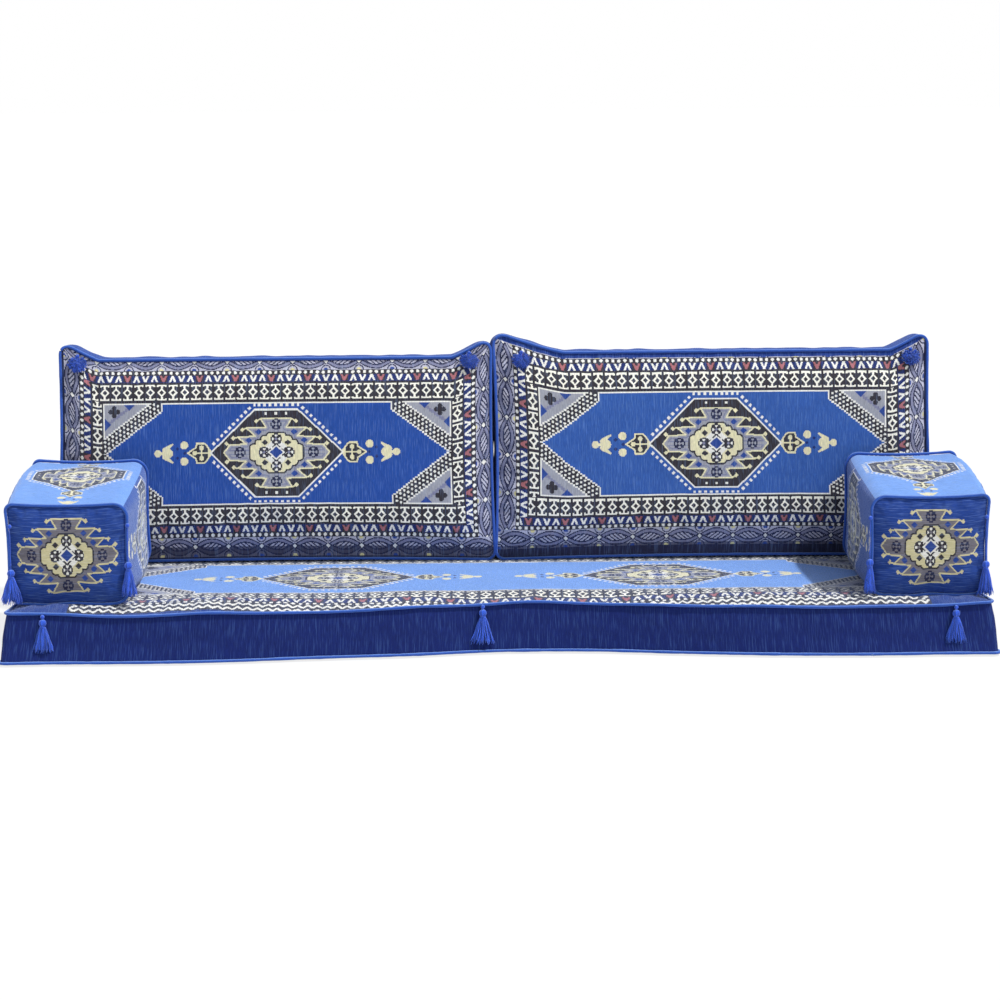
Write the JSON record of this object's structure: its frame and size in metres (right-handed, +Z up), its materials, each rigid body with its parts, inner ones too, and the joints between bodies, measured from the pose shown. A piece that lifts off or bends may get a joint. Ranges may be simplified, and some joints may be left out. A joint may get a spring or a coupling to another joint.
{
  "type": "majlis floor sofa",
  "caption": "Low floor sofa: a thick woven seat mattress with leaning back cushions, box arm cushions, corded seams and yarn tassels.",
  "frame": {"origin": "centre of the seat mattress's footprint, on the floor", "axes": "+X along the mattress to the sitter's left as seen from the front right of the picture, +Y from its front edge to its back edge, +Z up"},
  "size_m": [2.0068, 0.7149, 0.5825],
  "materials": {
    "kilim_weave": "patterned kilim weave in blue, navy, grey and white",
    "plain_weave": "plain blue slub weave",
    "piping_cord": "light blue ribbed cord",
    "tassel_yarn": "blue twisted yarn",
    "foam": "pale foam in an inner cloth",
    "fibre_filling": "white fibre filling in an inner cloth",
    "zip_tape": "woven navy tape with a nylon coil",
    "zip_metal": "dull brass"
  },
  "bodies": {
    "seat": {"seat_foam_core": "foam", "seat_top_panel": "kilim_weave", "seat_boxing": "kilim_weave", "seat_base_panel": "plain_weave", "seat_top_piping": "piping_cord", "seat_base_piping": "piping_cord", "seat_zip": "zip_tape"},
    "back_left": {"back_left_filling": "fibre_filling", "back_left_front_panel": "kilim_weave", "back_left_boxing": "plain_weave", "back_left_rear_panel": "plain_weave", "back_left_front_piping": "piping_cord", "back_left_rear_piping": "piping_cord", "back_left_zip": "zip_tape"},
    "back_right": {"back_right_filling": "fibre_filling", "back_right_front_panel": "kilim_weave", "back_right_boxing": "plain_weave", "back_right_rear_panel": "plain_weave", "back_right_front_piping": "piping_cord", "back_right_rear_piping": "piping_cord", "back_right_zip": "zip_tape"},
    "arm_left": {"arm_left_filling": "fibre_filling", "arm_left_front_panel": "kilim_weave", "arm_left_boxing": "kilim_weave", "arm_left_rear_panel": "plain_weave", "arm_left_front_piping": "piping_cord", "arm_left_rear_piping": "piping_cord", "arm_left_zip": "zip_tape"},
    "arm_right": {"arm_right_filling": "fibre_filling", "arm_right_front_panel": "kilim_weave", "arm_right_boxing": "kilim_weave", "arm_right_rear_panel": "plain_weave", "arm_right_front_piping": "piping_cord", "arm_right_rear_piping": "piping_cord", "arm_right_zip": "zip_tape"},
    "seat_tassel_left": {"seat_tassel_left": "tassel_yarn"},
    "seat_tassel_middle": {"seat_tassel_middle": "tassel_yarn"},
    "seat_tassel_right": {"seat_tassel_right": "tassel_yarn"},
    "back_left_tassel_outer": {"back_left_tassel_outer": "tassel_yarn"},
    "back_left_tassel_inner": {"back_left_tassel_inner": "tassel_yarn"},
    "arm_left_tassel_outer": {"arm_left_tassel_outer": "tassel_yarn"},
    "arm_left_tassel_inner": {"arm_left_tassel_inner": "tassel_yarn"},
    "back_right_tassel_outer": {"back_right_tassel_outer": "tassel_yarn"},
    "back_right_tassel_inner": {"back_right_tassel_inner": "tassel_yarn"},
    "arm_right_tassel_outer": {"arm_right_tassel_outer": "tassel_yarn"},
    "arm_right_tassel_inner": {"arm_right_tassel_inner": "tassel_yarn"},
    "seat_zip_slider": {"seat_zip_slider": "zip_metal"},
    "seat_zip_pull": {"seat_zip_pull": "zip_metal"},
    "back_left_zip_slider": {"back_left_zip_slider": "zip_metal"},
    "back_left_zip_pull": {"back_left_zip_pull": "zip_metal"},
    "arm_left_zip_slider": {"arm_left_zip_slider": "zip_metal"},
    "arm_left_zip_pull": {"arm_left_zip_pull": "zip_metal"},
    "back_right_zip_slider": {"back_right_zip_slider": "zip_metal"},
    "back_right_zip_pull": {"back_right_zip_pull": "zip_metal"},
    "arm_right_zip_slider": {"arm_right_zip_slider": "zip_metal"},
    "arm_right_zip_pull": {"arm_right_zip_pull": "zip_metal"}
  },
  "joints": [
    {"name": "back_left_lift", "type": "slide", "parent": "seat", "child": "back_left", "axis": [0, 0, 1], "range_m": [0, 0.55]},
    {"name": "back_right_lift", "type": "slide", "parent": "seat", "child": "back_right", "axis": [0, 0, 1], "range_m": [0, 0.55]},
    {"name": "arm_left_lift", "type": "slide", "parent": "seat", "child": "arm_left", "axis": [0, 0, 1], "range_m": [0, 0.55]},
    {"name": "arm_right_lift", "type": "slide", "parent": "seat", "child": "arm_right", "axis": [0, 0, 1], "range_m": [0, 0.55]},
    {"name": "seat_tassel_left_swing", "type": "hinge", "parent": "seat", "child": "seat_tassel_left", "pos_m": [-0.9265, -0.34167, 0.098], "axis": [-1, 0, 0], "range_deg": [0, 70]},
    {"name": "seat_tassel_middle_swing", "type": "hinge", "parent": "seat", "child": "seat_tassel_middle", "pos_m": [-0.036, -0.29304, 0.098], "axis": [-1, 0, 0], "range_deg": [0, 70]},
    {"name": "seat_tassel_right_swing", "type": "hinge", "parent": "seat", "child": "seat_tassel_right", "pos_m": [0.9265, -0.34167, 0.098], "axis": [-1, 0, 0], "range_deg": [0, 70]},
    {"name": "back_left_tassel_outer_swing", "type": "hinge", "parent": "back_left", "child": "back_left_tassel_outer", "pos_m": [-0.91093, 0.1478, 0.56607], "axis": [-1, 0, 0], "range_deg": [0, 45.9]},
    {"name": "back_left_tassel_inner_swing", "type": "hinge", "parent": "back_left", "child": "back_left_tassel_inner", "pos_m": [-0.05693, 0.1478, 0.56607], "axis": [-1, 0, 0], "range_deg": [0, 45.9]},
    {"name": "arm_left_tassel_outer_swing", "type": "hinge", "parent": "arm_left", "child": "arm_left_tassel_outer", "pos_m": [-0.99286, -0.2985, 0.2763], "axis": [-1, 0, 0], "range_deg": [0, 72.7]},
    {"name": "arm_left_tassel_inner_swing", "type": "hinge", "parent": "arm_left", "child": "arm_left_tassel_inner", "pos_m": [-0.755, -0.2985, 0.2763], "axis": [-1, 0, 0], "range_deg": [0, 72.4]},
    {"name": "back_right_tassel_outer_swing", "type": "hinge", "parent": "back_right", "child": "back_right_tassel_outer", "pos_m": [0.91093, 0.1478, 0.56607], "axis": [-1, 0, 0], "range_deg": [0, 45.9]},
    {"name": "back_right_tassel_inner_swing", "type": "hinge", "parent": "back_right", "child": "back_right_tassel_inner", "pos_m": [0.05693, 0.1478, 0.56607], "axis": [-1, 0, 0], "range_deg": [0, 45.9]},
    {"name": "arm_right_tassel_outer_swing", "type": "hinge", "parent": "arm_right", "child": "arm_right_tassel_outer", "pos_m": [0.99286, -0.2985, 0.2763], "axis": [-1, 0, 0], "range_deg": [0, 72.7]},
    {"name": "arm_right_tassel_inner_swing", "type": "hinge", "parent": "arm_right", "child": "arm_right_tassel_inner", "pos_m": [0.755, -0.2985, 0.2763], "axis": [-1, 0, 0], "range_deg": [0, 72.6]},
    {"name": "seat_zip_slide", "type": "slide", "parent": "seat", "child": "seat_zip_slider", "axis": [-1, 0, 0], "range_m": [0, 1.0634]},
    {"name": "seat_zip_pull_hinge", "type": "hinge", "parent": "seat_zip_slider", "child": "seat_zip_pull", "pos_m": [0.5317, 0.35362, 0.0525], "axis": [1, 0, 0], "range_deg": [0, 90]},
    {"name": "back_left_zip_slide", "type": "slide", "parent": "back_left", "child": "back_left_zip_slider", "axis": [-1, 0, 0], "range_m": [0, 0.5234]},
    {"name": "back_left_zip_pull_hinge", "type": "hinge", "parent": "back_left_zip_slider", "child": "back_left_zip_pull", "pos_m": [-0.22223, 0.22798, 0.17774], "axis": [1, 0, 0], "range_deg": [-8, 90]},
    {"name": "arm_left_zip_slide", "type": "slide", "parent": "arm_left", "child": "arm_left_zip_slider", "axis": [-1, 0, 0], "range_m": [0, 0.1134]},
    {"name": "arm_left_zip_pull_hinge", "type": "hinge", "parent": "arm_left_zip_slider", "child": "arm_left_zip_pull", "pos_m": [-0.81723, 0.06562, 0.2873], "axis": [1, 0, 0], "range_deg": [0, 90]},
    {"name": "back_right_zip_slide", "type": "slide", "parent": "back_right", "child": "back_right_zip_slider", "axis": [-1, 0, 0], "range_m": [0, 0.5234]},
    {"name": "back_right_zip_pull_hinge", "type": "hinge", "parent": "back_right_zip_slider", "child": "back_right_zip_pull", "pos_m": [0.74563, 0.22798, 0.17774], "axis": [1, 0, 0], "range_deg": [-8, 90]},
    {"name": "arm_right_zip_slide", "type": "slide", "parent": "arm_right", "child": "arm_right_zip_slider", "axis": [-1, 0, 0], "range_m": [0, 0.1134]},
    {"name": "arm_right_zip_pull_hinge", "type": "hinge", "parent": "arm_right_zip_slider", "child": "arm_right_zip_pull", "pos_m": [0.93063, 0.06562, 0.2873], "axis": [1, 0, 0], "range_deg": [0, 90]}
  ]
}
